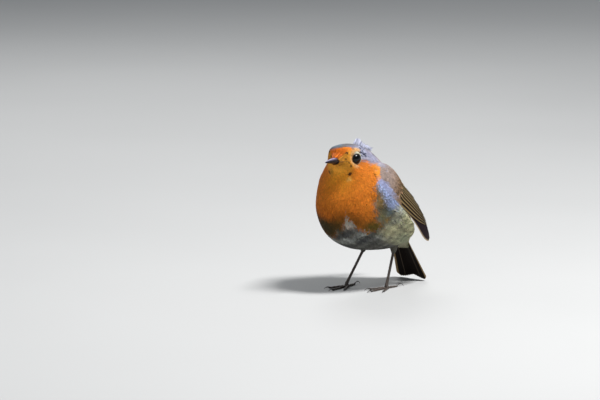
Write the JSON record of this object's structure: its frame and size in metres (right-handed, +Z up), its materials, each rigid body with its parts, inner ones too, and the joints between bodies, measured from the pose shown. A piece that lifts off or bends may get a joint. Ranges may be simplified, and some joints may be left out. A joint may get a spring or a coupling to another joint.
{
  "type": "robin",
  "caption": "Life-size still model of a European robin standing on both feet, head turned a little to its left, wings folded and tail down.",
  "frame": {"origin": "middle of the bird's box on the floor that both feet stand on", "axes": "+X ahead, the way the body faces; +Y to the bird's left; +Z up"},
  "size_m": [0.0892, 0.053, 0.0955],
  "materials": {
    "feathers_breast": "soft short feathers, orange on the face, throat and breast and grey on the crown and nape",
    "feathers_belly": "loose downy feathers, whitish on the belly, buff on the flanks and olive brown on the back",
    "feathers_wing": "smooth overlapping flight feathers and coverts, olive brown with paler edges",
    "feathers_tail": "smooth dark brown tail feathers with warm edges",
    "eye": "wet, glossy black",
    "bill_horn": "satin blackish horn, paler along the ridge",
    "claw_horn": "satin dark horn",
    "leg_skin": "satin dark brown scaled skin"
  },
  "bodies": {
    "root": {"bill_lower": "bill_horn", "bill_upper": "bill_horn", "claw_hind_left": "claw_horn", "claw_hind_right": "claw_horn", "claw_inner_left": "claw_horn", "claw_inner_right": "claw_horn", "claw_middle_left": "claw_horn", "claw_middle_right": "claw_horn", "claw_outer_left": "claw_horn", "claw_outer_right": "claw_horn", "eye_left": "eye", "eye_right": "eye", "head": "feathers_breast", "neck": "feathers_breast", "shank_left": "leg_skin", "shank_right": "leg_skin", "tail": "feathers_tail", "thigh_left": "feathers_belly", "thigh_right": "feathers_belly", "toe_hind_left": "leg_skin", "toe_hind_right": "leg_skin", "toe_inner_left": "leg_skin", "toe_inner_right": "leg_skin", "toe_middle_left": "leg_skin", "toe_middle_right": "leg_skin", "toe_outer_left": "leg_skin", "toe_outer_right": "leg_skin", "trunk": "feathers_belly", "wing_left": "feathers_wing", "wing_right": "feathers_wing"}
  },
  "joints": []
}
